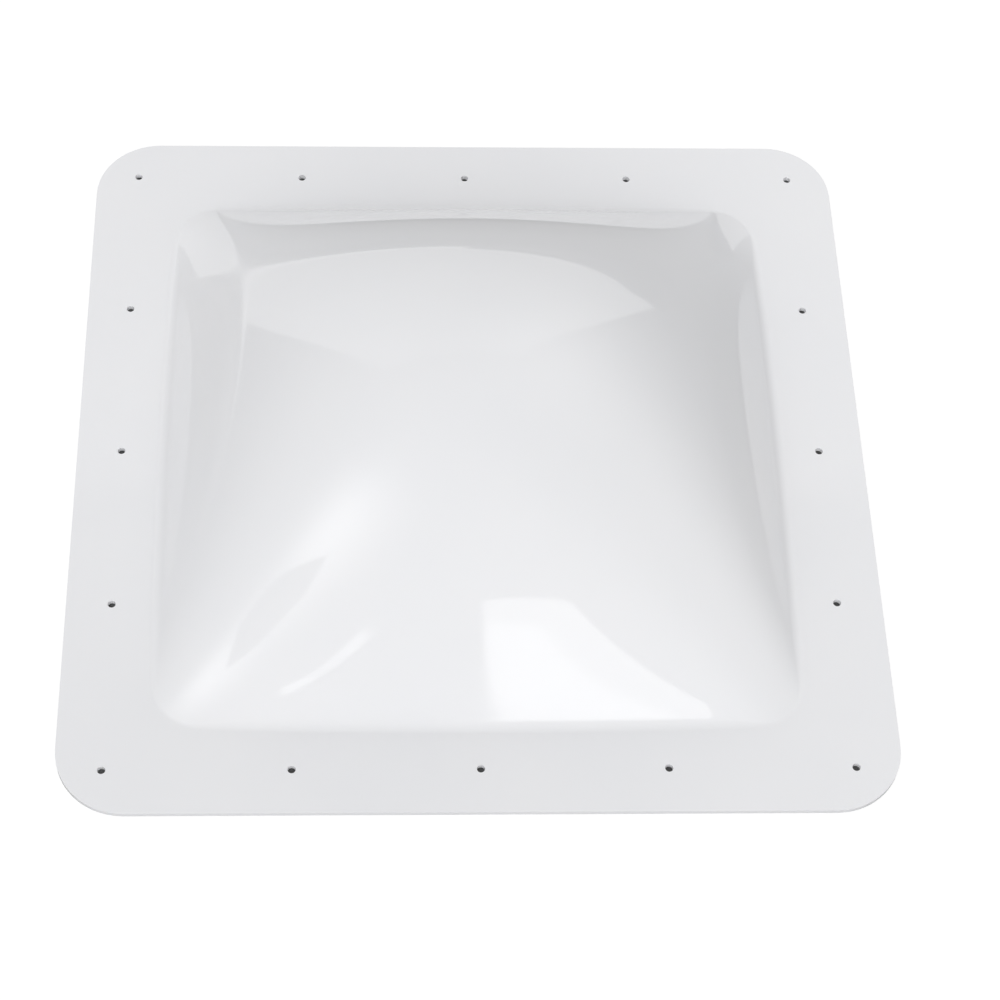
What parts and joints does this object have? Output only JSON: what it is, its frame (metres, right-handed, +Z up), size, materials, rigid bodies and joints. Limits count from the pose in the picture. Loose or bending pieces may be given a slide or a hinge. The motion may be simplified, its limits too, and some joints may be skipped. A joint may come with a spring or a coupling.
{
  "type": "rv skylight",
  "caption": "Square one-piece roof skylight for a caravan or camper: a flat flange with screw holes round a blown, pillow-shaped dome of white plastic.",
  "frame": {"origin": "middle of the flange's underside, where the skylight sits on the roof", "axes": "+Z up through the crown of the dome; X and Y run along the flange's sides"},
  "size_m": [0.4572, 0.4572, 0.1112],
  "materials": {
    "white_sheet": "glossy white translucent sheet, thermoformed"
  },
  "bodies": {
    "root": {"skylight_dome": "white_sheet"}
  },
  "joints": []
}
